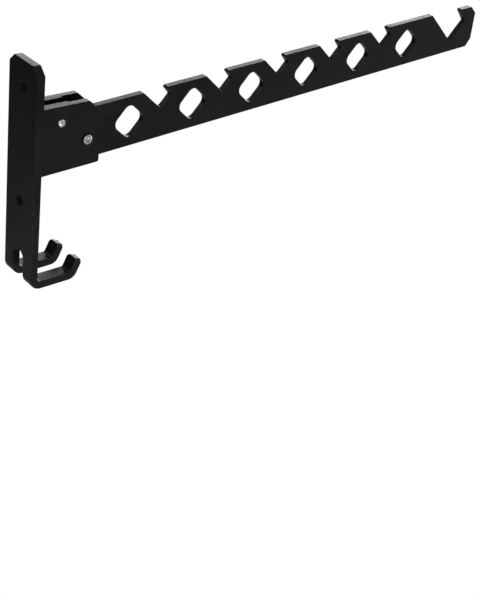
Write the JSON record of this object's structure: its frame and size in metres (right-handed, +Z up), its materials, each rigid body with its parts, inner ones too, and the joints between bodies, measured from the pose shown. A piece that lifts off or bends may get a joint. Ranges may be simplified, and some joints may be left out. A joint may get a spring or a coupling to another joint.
{
  "type": "bicycle wall rack",
  "caption": "Folding wall rack for bicycles: a notched flat-steel arm pivots in a clevis on a wall plate whose forked foot is bent into two hooks.",
  "frame": {"origin": "on the back face of the wall plate, midway between its two screw holes", "axes": "+X out from the wall along the lowered arm, +Y along the wall to the left of someone who faces it, +Z up"},
  "size_m": [0.4024, 0.03, 0.1468],
  "materials": {
    "powder_coat": "fine-textured matt black powder coat on steel",
    "powder_coat_arm": "fine-textured matt black powder coat on steel, worn in the notches",
    "powder_coat_weld": "matt black powder coat over a rippled weld",
    "bright_pin": "bright zinc-plated steel with turning marks",
    "washer_steel": "dull plated steel"
  },
  "bodies": {
    "bracket": {"wall_plate": "powder_coat", "cheek_left": "powder_coat", "cheek_right": "powder_coat", "guide_plate_left": "powder_coat", "guide_plate_right": "powder_coat", "weld_beads": "powder_coat_weld", "stop_pin": "bright_pin", "pivot_pin": "bright_pin", "washer_left": "washer_steel", "washer_right": "washer_steel"},
    "arm": {"arm": "powder_coat_arm"}
  },
  "joints": [
    {"name": "arm_fold", "type": "hinge", "parent": "bracket", "child": "arm", "pos_m": [0.041, 0, -0.0005], "axis": [0, -1, 0], "range_deg": [0, 85]}
  ]
}
